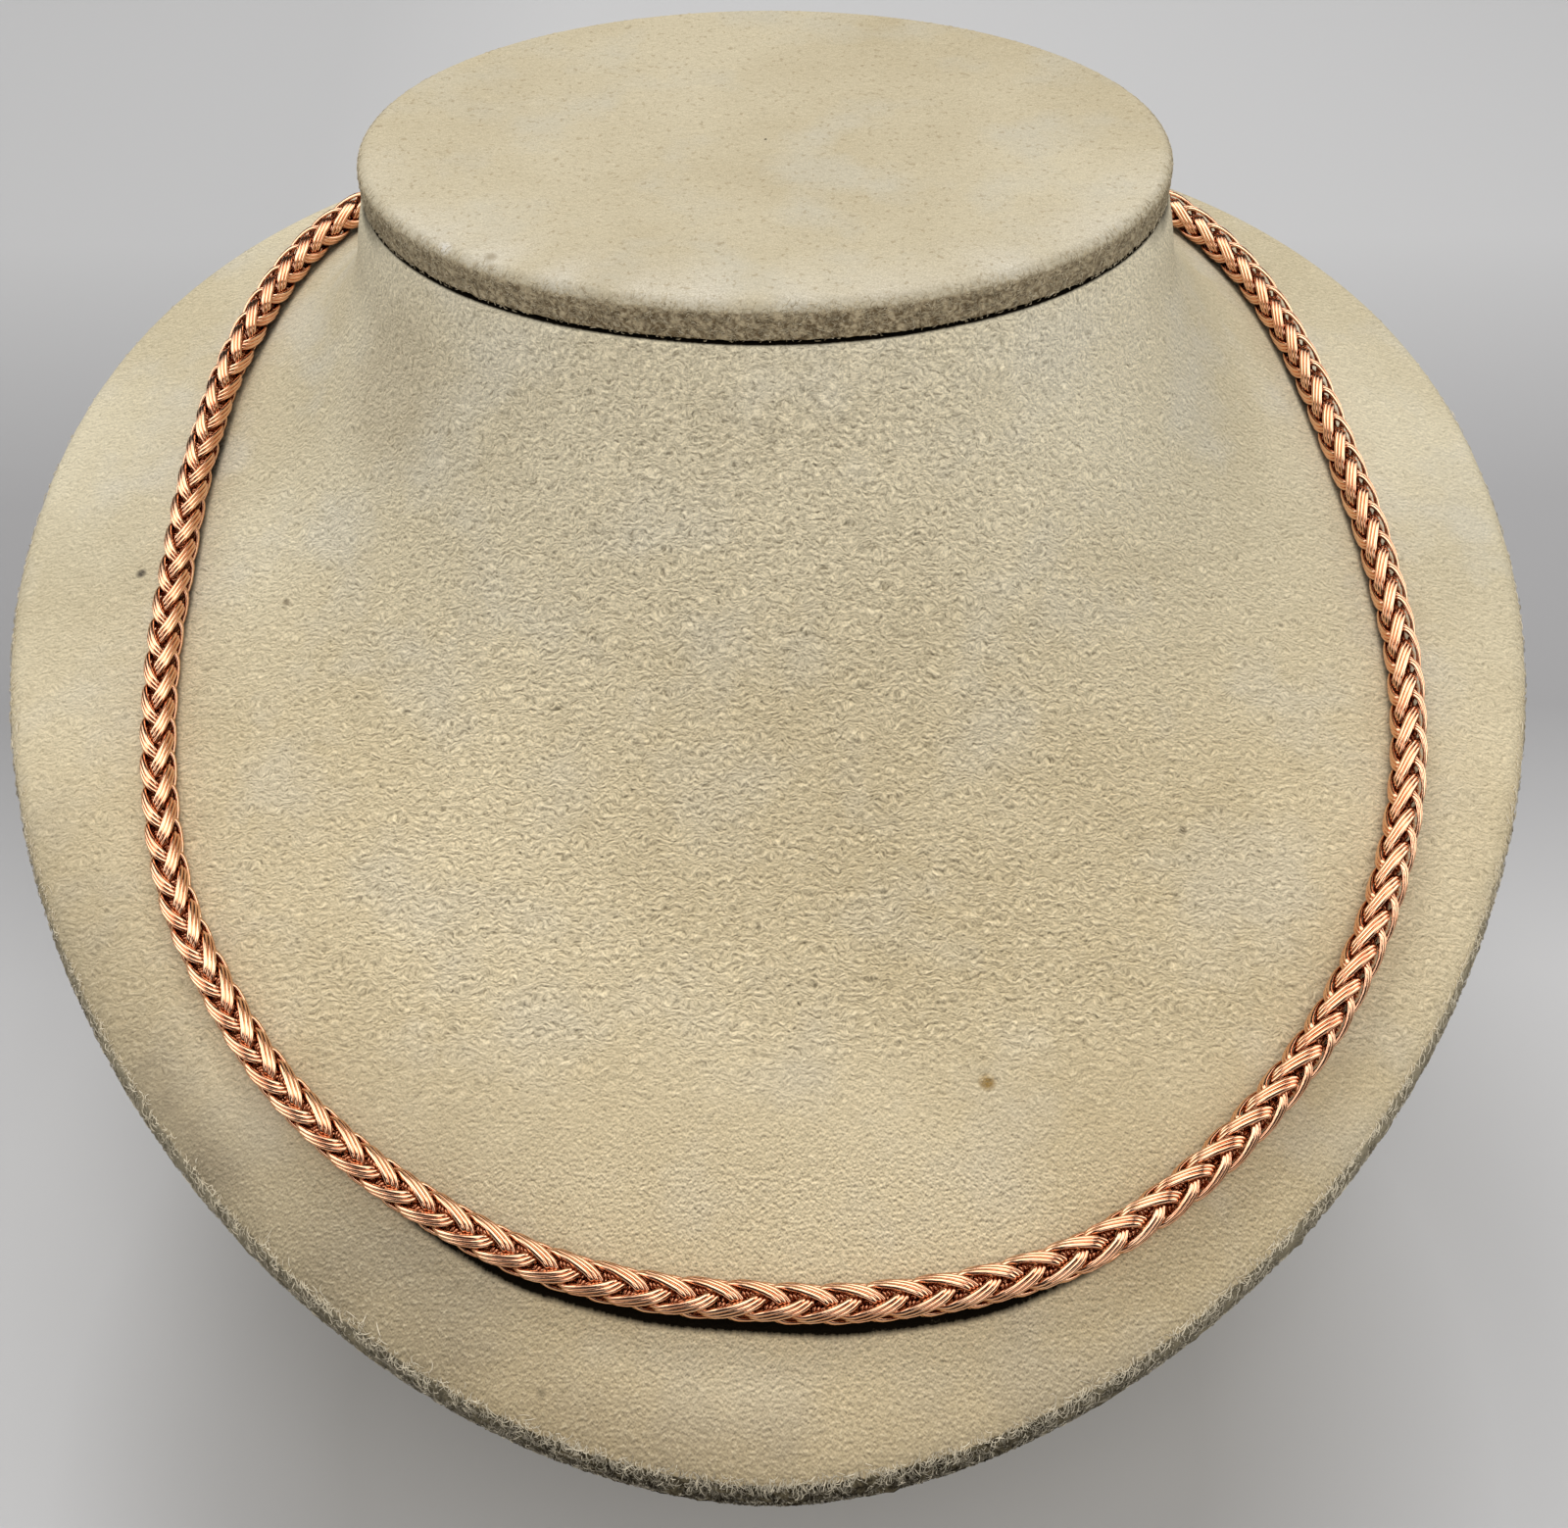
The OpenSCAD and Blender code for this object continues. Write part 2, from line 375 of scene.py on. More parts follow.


# Suede: short wrinkles that lie mostly side to side and turn into pebbles in front, each with a painted lit
# and shaded side, fine nap, brushed clouds, a tint of painted light and shade from front to back, spots and
# specks.
# The mesh's numbers give the cut edge of darker fibres with painted shade, a darkening towards the front rim,
# painted light on the neck's top and on the disc's front edge, and painted shade under the chain and the
# disc.
def makeSuede(name, look):
    material, tree, shader, place = newMaterial(name)
    shader.inputs["Roughness"].default_value = 0.95
    shader.inputs["Specular IOR Level"].default_value = 0.0
    parts = addNode(tree, "ShaderNodeSeparateXYZ", {"Vector": place}).outputs
    bend = addNoise(tree, place, look["swayScale"], output="Color")
    sway = addVector(tree, "MULTIPLY", bend, (look["sway"],) * 3)
    moved = addVector(tree, "ADD", place, sway)
    drawn = addVector(tree, "MULTIPLY", moved, (look["stretch"], 1.0, 1.0))
    pebbled = addRise(tree, parts["Y"], look["pebbleStart"], look["pebbleFull"])
    sides = []
    for lean in (0.0, look["lean"]):
        offset = (0.0, lean, lean * 0.4)
        drawnThere = addVector(tree, "ADD", drawn, offset)
        placeThere = addVector(tree, "ADD", place, offset)
        wrinkle = addNoise(tree, drawnThere, look["creaseScale"], 3.0, 0.6)
        pebble = addNoise(tree, placeThere, look["creaseScale"] * look["pebbleScale"], 3.0, 0.65)
        sides.append(addBlend(tree, pebbled, wrinkle, pebble))
    wrinkles, farSide = sides
    nap = addNoise(tree, place, look["napScale"], 2.0, 0.6)
    clouds = addNoise(tree, place, look["cloudScale"], 4.0, 0.6)
    patches = addNoise(tree, place, look["patchScale"], 3.0, 0.55)
    reach = addVector(tree, "DISTANCE", place, look["calmMiddle"], "Value")
    calm = addRise(tree, reach, look["calmFrom"], look["calmTo"], look["calmShare"], 1.0)
    base = addMix(tree, addRise(tree, clouds, 0.38, 0.62), look["shade"], look["light"])
    base = addMix(tree, addRise(tree, patches, 0.5, 0.68, 0.55), base, look["cool"])
    # Darker towards the front rim, unevenly.
    frontRimDarkening = addTimes(tree, addMark(tree, "frontRimDarkening"), addRise(tree, patches, 0.25, 0.7, 1.0, 0.35))
    base = addMix(tree, addTimes(tree, frontRimDarkening, look["frontRimDarkeningShare"]), base, look["frontRimDarkening"])
    # Painted light: the neck's top lightened where the disc shades it, and a painted highlight on the disc's
    # front top edge.
    paintedLight = addTimes(tree, addMark(tree, "paintedLight"), addRise(tree, nap, 0.3, 0.6, 1.0, 0.3))
    base = addMix(tree, paintedLight, base, look["paintedLightColor"])
    for where, far, share, color in look["spots"]:
        away = addVector(tree, "DISTANCE", place, where, "Value")
        spot = addRise(tree, away, far, far * 0.4, share)
        spot = addTimes(tree, spot, addRise(tree, nap, 0.25, 0.55, 1.0, 0.5))
        base = addMix(tree, spot, base, color)
    if look["specks"] > 0:
        specks = addNoise(tree, place, look["speckScale"], 2.0, 0.6)
        base = addMix(tree, addRise(tree, specks, 0.60, 0.69, look["specks"]), base, look["speckColor"])
    # Painted light and shade from front to back.
    tintLow, tintHigh = suedePaintedLightAndShade[0][0], suedePaintedLightAndShade[-1][0]
    stops = [((y - tintLow) / (tintHigh - tintLow), tint) for y, tint in suedePaintedLightAndShade]
    tint = addRamp(tree, addRise(tree, parts["Y"], tintLow, tintHigh), stops)
    base = addMix(tree, 1.0, base, tint, "MULTIPLY")
    # Painted shade in the wrinkles' creases and painted light on their crests.
    crease = addTimes(tree, addRise(tree, wrinkles, 0.44, 0.28, look["creaseShare"]), calm)
    base = addMix(tree, crease, base, look["crease"])
    crest = addTimes(tree, addRise(tree, wrinkles, 0.54, 0.70, look["crestShare"]), calm)
    base = addMix(tree, crest, base, look["crest"])
    emboss = addTimes(tree, addMath(tree, "SUBTRACT", wrinkles, farSide), calm)
    emboss = addTimes(tree, emboss, look["emboss"])
    grain = addRise(tree, nap, 0.3, 0.7, look["grain"][1], look["grain"][0])
    grain = addMath(tree, "ADD", grain, emboss)
    grain = addNode(tree, "ShaderNodeCombineColor", {0: grain, 1: grain, 2: grain}).outputs["Color"]
    base = addMix(tree, 1.0, base, grain, "MULTIPLY")
    strands = addNoise(tree, moved, look["strandScale"], 3.0, 0.6)
    cut = addMix(tree, addRise(tree, strands, 0.4, 0.62), look["cutDark"], look["cutLight"])
    aside = addMath(tree, "ABSOLUTE", parts["X"], 0.0)
    aside = addRise(tree, aside, look["cutSideFrom"], look["cutSideTo"], look["cutSideShare"])
    cut = addMix(tree, aside, cut, look["cutSide"])
    edge = addMark(tree, "edge")
    ragged = addMath(tree, "ADD", edge, addRise(tree, strands, 0.3, 0.7, 0.22, -0.22))
    color = addMix(tree, addRise(tree, ragged, 0.42, 0.6), base, cut)
    contact = addMath(tree, "ADD", addMark(tree, "contact"), addRise(tree, wrinkles, 0.3, 0.7, 0.12, -0.12))
    contact = addMath(tree, "ADD", contact, addRise(tree, patches, 0.35, 0.65, 0.12, -0.12))
    contact = addRise(tree, contact, 0.2, 0.85, look["contact"])
    color = addMix(tree, contact, color, look["contactColor"])
    tree.links.new(color, shader.inputs["Base Color"])
    relief = addTimes(tree, addMath(tree, "ADD", wrinkles, addTimes(tree, nap, look["napBump"])), calm)
    relief = addMath(tree, "ADD", relief, addTimes(tree, addTimes(tree, strands, edge), look["strandBump"]))
    setBump(tree, shader, relief, look["bumpStrength"], look["bumpDepth"])
    return material


# Loose fibres of a cut edge: each has its own lightness from the mesh's number shade.
def makeFibreMaterial(name, dark, light):
    material, tree, shader, place = newMaterial(name)
    shader.inputs["Roughness"].default_value = 0.8
    shader.inputs["Specular IOR Level"].default_value = 0.0
    cloud = addRise(tree, addNoise(tree, place, 900.0), 0.3, 0.7, 0.15, -0.15)
    color = addMix(tree, addMath(tree, "ADD", addMark(tree, "shade"), cloud), dark, light)
    tree.links.new(color, shader.inputs["Base Color"])
    return material


# Darkest and lightest fibre.
fibreColors = {
    "capFibre": ((0.20, 0.155, 0.09), (0.66, 0.58, 0.42)),
    "rimFibre": ((0.024, 0.019, 0.012), (0.86, 0.77, 0.59)),
}
roseMetal = makeMetal("roseMetal", metalLook)
claspMetal = makeMetal("claspMetal", metalLook)
formSuede = makeSuede("formSuede", suedeLook)
capSuede = makeSuede("capSuede", capLook)
capFibre, rimFibre = [makeFibreMaterial(name, *colors) for name, colors in fibreColors.items()]
standCloth = makeSuede("standCloth", suedeLook)
print("stage: materials made")


# Route of the chain over the form: angle round the neck in degrees, share of the way out to the rim.
chainRoute = [
    (108, 0.505), (122, 0.58), (134.5, 0.61), (144.5, 0.575), (154.5, 0.525), (166, 0.5), (181, 0.53),
    (193, 0.597), (202, 0.687), (210, 0.77), (217, 0.828), (224, 0.855), (231, 0.875), (238, 0.88),
    (245, 0.88), (252, 0.878), (260, 0.871), (268.5, 0.866), (278, 0.877), (286, 0.893), (293.5, 0.907),
    (301, 0.908), (308, 0.902), (315.5, 0.891), (323, 0.866), (331, 0.823), (339, 0.753), (347.5, 0.657),
    (358, 0.555), (372, 0.5), (386, 0.51), (401.5, 0.545), (417, 0.545), (432, 0.505),
]

edgeLook = {
    "cutFrom": 42.0,  # turn of the rounded edge where the cut face starts, degrees
    "cutFade": 14.0,
    "cutBehind": 0.12,  # how much of it shows behind
    "relief": 0.30,  # of the cut face, mm
    "reliefEnd": 2.6,  # turn of the rounded edge where the relief ends, radians
    "frontFrom": 0.30,  # sine of the angle towards the front where the cut face starts to show
    "frontTo": 0.68,
    "frontRimDarkeningReach": 0.10,  # share of the way out over which the suede darkens towards the front rim
    "frontRimDarkeningLean": 0.65,  # darker in the middle of the front, with more on the left
    "frontRimDarkeningLeast": 0.15,
}

# The neck at the disc. Distances are in millimetres.
neckLook = {
    "crowded": 5.0,  # rows of the mesh crowd within this distance of the neck's top
    "swellEnd": 2.6,  # distance out from the disc's outline where the neck's swell ends
    "swellWidth": 3.0,  # and how far in from there it is full
    "swellGap": 0.04,  # left between it and the neck's height
    "darkEnd": 0.12,  # distance out from the disc's outline where the painted shade under it ends
    "darkWidth": 0.3,
    "paintedLight": 0.55,  # how much painted light brightens the neck's top, which the disc shades
    "paintedLightReach": 0.22,  # share of the way out where that ends
}

# Shade where the chain lies on the suede, in millimetres from the chain's middle line.
contactLook = {
    "nearRows": 3.6,  # rows of the mesh crowd within this distance
    "dark": 0.9,  # full shade under the chain
    "fade": 1.8,  # and where it ends
    "frontDark": 1.9,  # the same on the outer side in front, where the chain stands off the slope
    "frontFade": 3.2,
    "insideFade": 1.95,  # and on the inner side at the sides
    "frontAt": 268,  # angle where it is widest, degrees
    "frontCosine": 0.87,  # cosine of the angle from there where the front starts
    "frontRise": 0.09,  # and how much more makes it full
    "sideStrength": 0.6,
}


# Share of the way out where the chain lies at angle a round the neck.
def chainShare(a):
    route = smoothCurve(chainRoute, 12)
    route = route[(route[:, 0] > 110) & (route[:, 0] < 430)]
    angles = np.degrees(a) % 360
    angles = np.where(angles < 90, angles + 360, angles)
    return np.interp(angles, route[:, 0], route[:, 1])


# Shade of the contact from 0 to 1 at points of the upper face: the distance to the chain's middle line
# seen from above, signed outwards, between a dark and a faded distance that depend on the side.
def contactShade(a, s, points):
    look = contactLook
    near = np.zeros(points.shape[:2])
    angles = np.radians(np.arange(0, 360, 0.25))
    line = formPoint(angles, chainShare(angles))[:, :2].astype(np.float32)
    for row in range(points.shape[0]):
        gap = points[row, :, None, :2].astype(np.float32) - line[None]
        near[row] = np.sqrt((gap ** 2).sum(-1).min(1))
    outer = s > chainShare(a)
    cosine = np.cos(a - math.radians(look["frontAt"]))
    front = np.clip((cosine - look["frontCosine"]) / look["frontRise"], 0, 1)
    outDark = look["dark"] + (look["frontDark"] - look["dark"]) * front
    outFade = look["fade"] + (look["frontFade"] - look["fade"]) * front
    inFade = look["insideFade"] + (look["fade"] - look["insideFade"]) * front
    dark = np.where(outer, outDark, look["dark"])
    fade = np.where(outer, outFade, inFade)
    share = np.clip((fade - near) / (fade - dark), 0, 1)
    return share * share * (3 - 2 * share) * (look["sideStrength"] + (1 - look["sideStrength"]) * front)


# Distance outwards from the disc's outline seen from above, along the line to the disc's middle.
def discDistance(points):
    x, y = points[..., 0], points[..., 1] - neckMiddle
    reach = np.hypot(x * 2 / discWidth, y * 2 / discDepth) + 1e-6
    return np.hypot(x, y) * (1 - 1 / reach)


# Padded form: rows of points from the middle of its top over the flare and the edge to the middle below.
# Rows crowd under the disc and beside the chain. The neck swells against the disc by a smooth step of the
# distance from the disc's outline, and the cut edge is set in or out by an uneven relief.
def makeForm():
    look = edgeLook
    a = allRound(480)
    share = chainShare(a)
    step = np.linalg.norm(formPoint(a, share + 0.01) - formPoint(a, share), axis=-1) / 0.01
    reach = np.minimum(contactLook["nearRows"] / step, 0.7 * (1 - share))
    topStep = np.linalg.norm(formPoint(a, 0.02 + 0 * a) - formPoint(a, 0 * a), axis=-1) / 0.02
    crowded = neckLook["crowded"] / topStep
    under = np.linspace(0, 1, 17)[:, None] * crowded
    inside = crowded + np.linspace(0, 1, 29)[1:-1, None] * (share - reach - crowded)
    inside = np.concatenate([under, inside])
    beside = share + np.linspace(-1, 1, 31)[:, None] * reach
    outside = share + reach + np.linspace(0, 1, 25)[1:, None] * (1 - share - reach)
    s = np.concatenate([inside, beside, outside])
    t = np.linspace(0, math.pi, 24)[1:, None]
    upper = formPoint(a, s)
    swell = np.clip((neckLook["swellEnd"] - discDistance(upper)) / neckLook["swellWidth"], 0, 1)
    swell = swell * swell * (3 - 2 * swell)
    upper[..., 2] += swell * (neckTop - neckLook["swellGap"] - upper[..., 2])
    edge = edgePoint(a, t)
    outward = unit(edge - (edgePoint(a, 0 * t) - np.array([0, 0, edgeRadius])))
    # The cut face, partly painted shade, shows mostly in front.
    cut = np.clip((np.degrees(t) - look["cutFrom"]) / look["cutFade"], 0, 1)
    front = np.clip((-np.sin(a) - look["frontFrom"]) / (look["frontTo"] - look["frontFrom"]), 0, 1)
    cut = cut * (look["cutBehind"] + (1 - look["cutBehind"]) * front)
    uneven = bandRelief(a, t * 40, 30, 190) * look["relief"] * cut
    edge = edge + outward * np.where(t < look["reliefEnd"], uneven, 0)[..., None]
    shares = np.array([0.002, 0.35, 0.7, 0.97])[:, None, None]
    middleTop = np.array([0, neckMiddle, neckTop])
    top = middleTop + (upper[:1] - middleTop) * shares
    middleLow = np.array([0, 0, rimHeight(0) - formSize["rimThick"]])
    low = middleLow + (edge[-1:] - middleLow) * shares[::-1]
    points = np.concatenate([top, upper, edge, low])
    rows, columns = points.shape[:2]
    face = slice(len(top), len(top) + len(upper))
    underDisc = slice(0, len(top) + len(inside))
    marks = {title: np.zeros((rows, columns)) for title in ("edge", "contact", "frontRimDarkening", "paintedLight")}
    marks["edge"][face.stop:-len(low)] = cut
    marks["contact"][face] = contactShade(a, s, upper)
    # Painted shade under the disc's lip, kept in the contact mark.
    below = np.clip((neckLook["darkEnd"] - discDistance(points)) / neckLook["darkWidth"], 0, 1)
    marks["contact"][underDisc] = np.maximum(marks["contact"], below)[underDisc]
    # Darker towards the front rim, unevenly, more in the middle and to the left.
    reach = look["frontRimDarkeningReach"] * (0.4 + 0.9 * (0.5 + 0.5 * bandRelief(a, 0 * a, 3, 17)))
    marks["frontRimDarkening"][face] = front * np.clip(1 - (1 - s) / reach, 0, 1)
    marks["frontRimDarkening"][face.stop:] = front
    marks["frontRimDarkening"] *= np.clip(look["frontRimDarkeningLean"] * (1 - np.cos(a)), look["frontRimDarkeningLeast"], 1)
    # Painted light on the neck's top, where the disc shades it.
    marks["paintedLight"][face] = neckLook["paintedLight"] * np.clip(1 - s / neckLook["paintedLightReach"], 0, 1)
    piece = addMesh("neckForm", points, gridFaces(rows, columns), formSuede, marks)
    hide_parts("neck_form")


# Fibres lying on a band: each starts at an angle a and a share v across the band, walks over it on a
# bending heading, arches up in the middle, and is a tube of three sides that ends in two points. It is
# paler towards the top of the band and towards the sides; this is partly the fibres' own colour and partly
# painted shade, darkest in front and low down, where the band faces away from the light.
def makeFibres(name, surface, look, material):
    count, steps = look["count"], 5
    if "spread" in look:
        a = rng.normal(1.5 * math.pi, look["spread"], count)
    else:
        a = rng.uniform(0, 2 * math.pi, count)
    v = rng.uniform(*look["across"], count)
    heading = rng.uniform(0, 2 * math.pi, count) if look["wild"] else rng.normal(math.pi / 2, 0.8, count)
    length = rng.uniform(*look["length"], count)
    curl = rng.normal(0, look["curl"], count)
    arch = rng.uniform(*look["arch"], count)
    u = np.linspace(0, 1, steps)
    turn = heading[:, None] + curl[:, None] * u[:-1]
    step = length[:, None] / (steps - 1)
    first = np.zeros((count, 1))
    along = np.hstack([first, np.cumsum(np.cos(turn) * step, axis=1)])
    across = np.hstack([first, np.cumsum(np.sin(turn) * step, axis=1)])
    here, out = surface(a[:, None] + along * look["perAngle"], v[:, None] + across * look["perAcross"])
    line = here + out * (arch[:, None] * np.sin(math.pi * u) + look["over"])[..., None]
    ahead = unit(np.gradient(line, axis=1))
    side = np.cross(ahead, out)
    side /= np.linalg.norm(side, axis=2, keepdims=True) + 1e-9
    rise = np.cross(side, ahead)
    thick = rng.uniform(*look["radius"], count)[:, None, None, None]
    q = (2 * math.pi * np.arange(3) / 3)[:, None]
    rings = line[:, 1:-1, None] + thick * (np.cos(q) * side[:, 1:-1, None] + np.sin(q) * rise[:, 1:-1, None])
    points = np.concatenate([line[:, :1], rings.reshape(count, -1, 3), line[:, -1:]], axis=1)
    last = 1 + 3 * (steps - 3)
    faces = []
    for k in range(3):
        n = (k + 1) % 3
        faces.append((0, 1 + n, 1 + k))
        for r in range(steps - 3):
            low, high = 1 + 3 * r, 4 + 3 * r
            faces += [(low + k, low + n, high + n), (low + k, high + n, high + k)]
        faces.append((last + k, last + n, points.shape[1] - 1))
    faces = np.array(faces)[None] + (np.arange(count) * points.shape[1])[:, None, None]
    start, full = look["paleTop"]
    pale = look["paleBy"] * np.clip((v - start) / (full - start), 0, 1)
    aside = look["sideBy"] * np.clip((np.abs(np.cos(a)) - 0.12) / 0.55, 0, 1)
    shade = np.clip(rng.beta(*look["shades"], count) + pale + aside, 0, 1)
    marks = {"shade": np.repeat(shade, points.shape[1])}
    piece = addMesh(name, points, faces.reshape(-1, 3), material, marks)


rimFibres = {
    "count": 10800,
    "spread": 0.70,  # round the front, radians
    "across": (0.56, 2.35),  # turn of the rounded edge, radians
    "wild": False,  # headings all round, or mostly down the band
    "length": (0.4, 1.7),  # mm, as all the lengths below
    "curl": 1.8,
    "arch": (0.0, 0.20),
    "over": 0.03,  # over the surface
    "radius": (0.028, 0.058),
    "shades": (0.6, 3.2),  # the two numbers of a beta spread from dark to light
    "paleTop": (1.15, 0.70),  # where they start to be paler, and are fully so
    "paleBy": 0.60,
    "sideBy": 0.32,
    "perAngle": 1 / 90.0,  # angle and share across to a millimetre
    "perAcross": 1 / edgeRadius,
}


# Point and outward way of the rim's rounded edge at angle a, turned by t.
def rimBand(a, t):
    point = edgePoint(a, t)
    ahead = edgePoint(a + 1e-3, t) - point
    down = edgePoint(a, t + 1e-3) - point
    out = np.cross(down, ahead)
    return point, out / (np.linalg.norm(out, axis=-1, keepdims=True) + 1e-9)


makeForm()
makeFibres("rimFuzz", rimBand, rimFibres, rimFibre)
print("stage: padded form made")

capSize = {
    "topRound": 1.5,
    "lowRound": 0.5,
    "relief": 0.16,
    "paintedLight": 0.75,  # how strong the painted highlight on the front top edge is
    "paintedLightDown": 1.6,  # how far down from the top
    "paintedLightIn": 9.0,  # how far in from the outline
}
capHeight = capHigh[2] - capLow[2]


# Side of the disc at angle a and height v over its underside, an upright ellipse, and its outward way.
def capBand(a, v):
    v = np.clip(v, 0, capHeight)
    x, y = discWidth / 2 * np.cos(a), discDepth / 2 * np.sin(a)
    inset = np.where(v > capHeight - capSize["topRound"], v - capHeight + capSize["topRound"], 0)
    inset = capSize["topRound"] - np.sqrt(np.maximum(capSize["topRound"] ** 2 - inset ** 2, 0))
    out = unit(np.stack([np.cos(a) / discWidth, np.sin(a) / discDepth, 0 * v], -1))
    return np.stack([x, y + neckMiddle, capLow[2] + v], -1) - out * inset[..., None], out


# Disc: rows of points from the middle of its top over a soft edge and the cut side to the middle below.
def makeCap():
    a = allRound(420)
    corner = np.linspace(0, math.pi / 2, 9)[:, None]
    topInset = capSize["topRound"] * (1 - np.sin(corner))
    topRows = capHeight - capSize["topRound"] * (1 - np.cos(corner))
    sideRows = np.linspace(capHeight - capSize["topRound"], capSize["lowRound"], 9)[1:, None]
    lowTurn = np.linspace(0, math.pi / 2, 4)[1:, None]
    lowRows = capSize["lowRound"] * (1 - np.sin(lowTurn))
    height = np.vstack([topRows, sideRows, lowRows])
    inset = np.vstack([topInset, 0 * sideRows, capSize["lowRound"] * (1 - np.cos(lowTurn))])
    cut = np.clip((capHeight - height) / capSize["topRound"] - 0.25, 0, 1)
    inset = inset - bandRelief(a, height * 10, 40, 200) * capSize["relief"] * cut
    x = (discWidth / 2 - inset) * np.cos(a)
    y = neckMiddle + (discDepth / 2 - inset) * np.sin(a)
    band = np.stack([x, y, np.broadcast_to(capLow[2] + height, x.shape)], -1)
    middle = np.array([0, neckMiddle, 0])
    shares = np.array([0.004, 0.3, 0.6, 0.75, 0.85, 0.92, 0.97])
    flat = np.stack([shares, shares, 0 * shares + 1], -1)
    top = middle + (band[:1] - middle) * flat[:, None, :]
    low = middle + (band[-1:] - middle) * flat[::-1, None, :]
    points = np.concatenate([top, band, low])
    rows, columns = points.shape[:2]
    edgeShare = np.zeros((rows, columns))
    edgeShare[len(top):-len(low)] = cut
    down = capHigh[2] - points[..., 2]
    # Painted highlight along the disc's front top edge.
    paintedLight = np.clip(1 - down / capSize["paintedLightDown"], 0, 1)
    paintedLight *= np.clip(1 + discDistance(points) / capSize["paintedLightIn"], 0, 1) * np.clip(0.1 - 1.6 * np.sin(a), 0, 1)
    paintedLight *= 0.55 + 0.45 * bandRelief(a, 0 * down, 3, 40)
    marks = {"edge": edgeShare, "paintedLight": np.clip(paintedLight, 0, 1) * capSize["paintedLight"]}
    piece = addMesh("neckCap", points, gridFaces(rows, columns), capSuede, marks)
    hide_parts("neck_cap")


capFibres = {
    "count": 9500, "across": (0.2, 4.3), "wild": True, "length": (0.3, 1.0), "curl": 2.6,
    "arch": (0.0, 0.06), "over": 0.03, "radius": (0.026, 0.052), "shades": (1.4, 2.0),
    "paleTop": (2.8, 4.2), "paleBy": 0.60, "sideBy": 0.10, "perAngle": 1 / 42.0, "perAcross": 1.0,
}
makeCap()
makeFibres("capFuzz", capBand, capFibres, capFibre)
print("stage: disc made")

chainSize = {
    "width": 3.8,  # outer width of the round chain, mm
    "gap": 0.25,  # over the form
    "pitch": 4.5,  # along the chain from link to link in one column
    "firstLink": 0.55,  # pitches from the chain's start to the middle of its first link
    "lastLink": 0.4,  # and at least from the middle of its last link to the end
    "wires": 3,  # side by side in each link
    "wireWidth": 0.27,  # half the width of one wire
    "wireThick": 0.20,  # half its thickness
    "wireFlat": 0.42,  # share of the width that is flat
    "closeness": 0.80,  # of the wires' spacing to their width
    "bend": 0.42,  # how much the ribbon of wires bends over, per mm
    "claspShare": 0.5,  # share of the way out where the clasp lies
    "claspHalf": 6.3,  # half the clasp with its gap
    "ringSteps": 2,  # points between two rows of linkOutline
    "outerTurn": 0.8,  # rows turned less than this lie outside, and their width turns with them
    "deepFrom": 0.90,  # share of the radius where the painted shade starts to darken the metal inwards
    "deepTo": 0.45,
    "coilRadius": 0.52,  # inner coil, mm
    "coilPitch": 0.80,
    "coilWire": 0.33,
    "coilSteps": 13,  # points in one turn
    "coilUneven": (0.10, 0.16),  # out from the line and along it
    # painted shade of the inner coil
    "coilDeep": 0.75,
}
# One link of the chain, a closed loop that passes under the next column through its links and back by the
# middle: along the chain in pitches, out from its middle in chain radii, the turn round it in degrees from
# the link's own column, and how far the ribbon's width leans from round the chain to along it.
linkOutline = [
    (-0.57, 0.78, -40, 0.25),
    (-0.38, 0.93, -21, 0.0),
    (0.0, 0.985, 0, 0.0),
    (0.38, 0.93, 21, 0.0),
    (0.57, 0.78, 40, 0.25),
    (0.66, 0.60, 68, 1.0),
    (0.66, 0.46, 102, 1.0),
    (0.45, 0.12, 150, 0.8),
    (0.0, 0.20, 0, 0.0),
    (-0.45, 0.12, -150, 0.8),
    (-0.66, 0.46, -102, 1.0),
    (-0.66, 0.60, -68, 1.0),
]
# Turn of the chain about its own line at angles of its route, both in degrees.
chainRoll = [
    (108, 125), (134, 105), (150, 92), (158, 85), (166, 72), (174, 54), (182, 36), (190, 17), (196, 6),
    (206, 3), (214, 0), (222, -3), (230, -5), (246, -8), (262, -7), (278, -7), (290, -7), (302, -23),
    (312, -36), (326, -27), (342, -11), (358, -2), (372, 6), (390, 17), (414, 32), (432, 40),
]


# Middle line of the chain with its frame: the route laid on the form, lifted along the form's normal.
def chainPath():
    lift = chainSize["width"] / 2 + chainSize["gap"]
    backAngles = np.linspace(0, math.pi / 2, 2000)
    backX = formPoint(backAngles, chainSize["claspShare"])[:, 0]
    endAngle = math.degrees(np.interp(-chainSize["claspHalf"], -backX, backAngles))
    ends = [(angle, chainSize["claspShare"]) for angle in (180 - endAngle, 360 + endAngle)]
    route = smoothCurve(ends[:1] + chainRoute + ends[1:], 24)
    a, s = np.radians(route[:, 0]), route[:, 1]
    up = formNormal(a, s)
    line = formPoint(a, s) + lift * up
    length = np.concatenate([[0], np.cumsum(np.linalg.norm(np.diff(line, axis=0), axis=1))])
    along = unit(np.gradient(line, axis=0))
    side = unit(np.cross(along, up))
    up = np.cross(side, along)
    return length, line, side, up, route[:, 0]


pathLength, pathLine, pathSide, pathUp, pathAngle = chainPath()
print("stage: chain path, length %.1f mm" % pathLength[-1])


# Places points given by distance along the chain and offsets to its side and up.
def onPath(distance, side, up):
    def read(table):
        return np.stack([np.interp(distance, pathLength, table[:, k]) for k in range(3)], -1)
    return read(pathLine) + side[..., None] * read(pathSide) + up[..., None] * read(pathUp)


